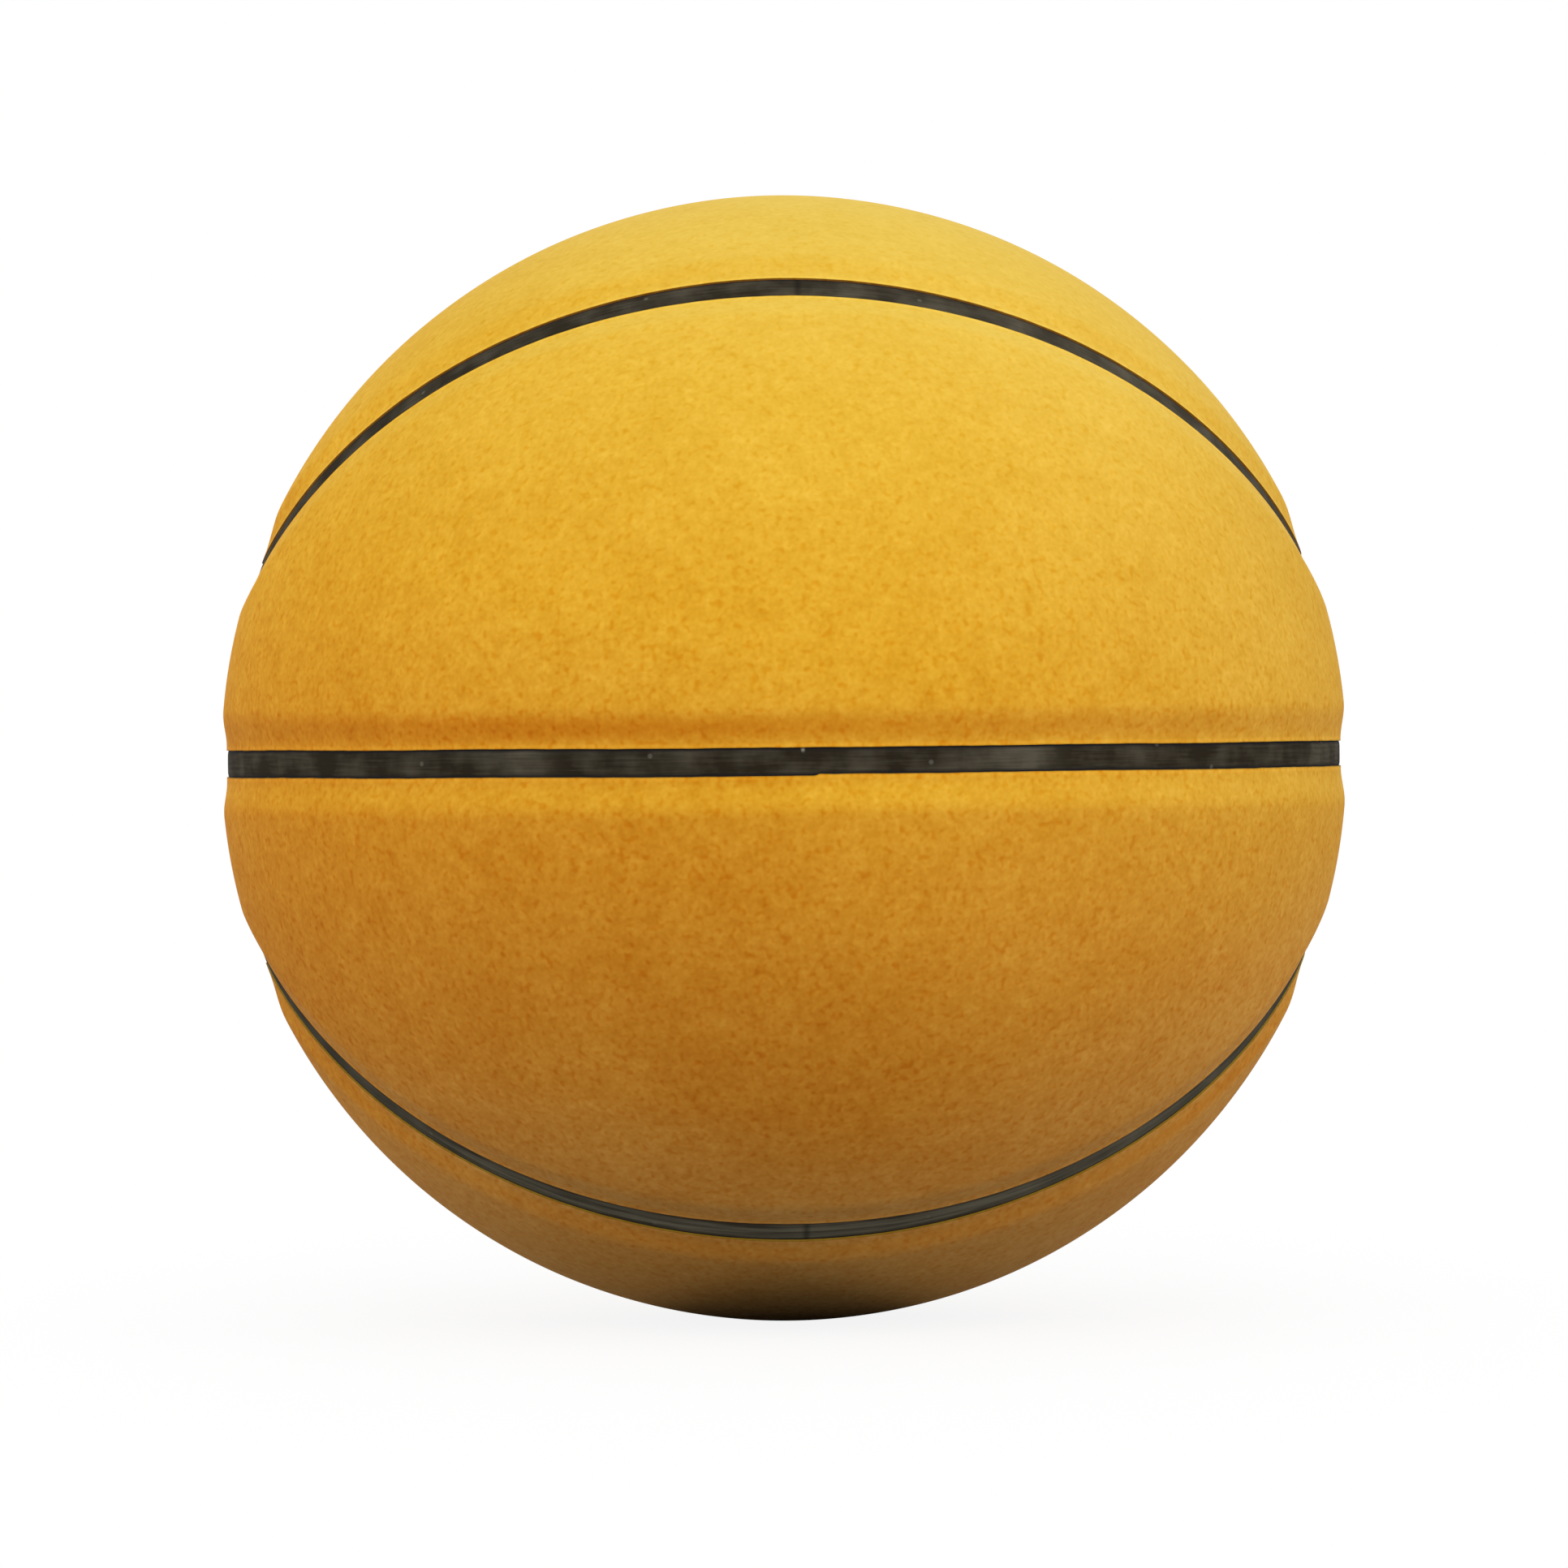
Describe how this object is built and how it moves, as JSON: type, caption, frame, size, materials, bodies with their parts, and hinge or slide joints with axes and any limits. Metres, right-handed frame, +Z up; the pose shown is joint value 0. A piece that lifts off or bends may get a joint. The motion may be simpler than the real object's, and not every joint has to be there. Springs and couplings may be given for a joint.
{
  "type": "basketball",
  "caption": "Inflated ball: tan leather panels with rolled edges between sunken black rubber channels, over a carcass, thread winding, bladder and needle valve.",
  "frame": {"origin": "centre of the ball", "axes": "+Z up through the middle of the upper loop, -Y towards the viewer of the picture, +Y out through the valve, +X to the right; the equator channel lies in the XY plane and the cross channel in the XZ plane"},
  "size_m": [0.2394, 0.2397, 0.24],
  "materials": {
    "cover_leather": "soft napped leather, golden tan",
    "channel_rubber": "matt black rubber, scuffed lengthwise",
    "carcass_rubber": "matt moulded rubber",
    "thread": "wound thread bonded with latex",
    "butyl": "smooth butyl rubber",
    "valve_rubber": "smooth moulded rubber"
  },
  "bodies": {
    "root": {"bladder": "butyl", "valve_patch": "butyl", "valve_housing": "valve_rubber", "valve_plug": "valve_rubber", "thread_winding": "thread", "carcass": "carcass_rubber", "equator_channel": "channel_rubber", "upper_loop_channel": "channel_rubber", "lower_loop_channel": "channel_rubber", "cross_channel_top": "channel_rubber", "cross_channel_bottom": "channel_rubber", "cross_channel_upper_right": "channel_rubber", "cross_channel_upper_left": "channel_rubber", "cross_channel_lower_right": "channel_rubber", "cross_channel_lower_left": "channel_rubber", "panel_upper_front": "cover_leather", "panel_upper_back": "cover_leather", "panel_lower_front": "cover_leather", "panel_lower_back": "cover_leather", "panel_top_front": "cover_leather", "panel_top_back": "cover_leather", "panel_bottom_front": "cover_leather", "panel_bottom_back": "cover_leather"}
  },
  "joints": []
}
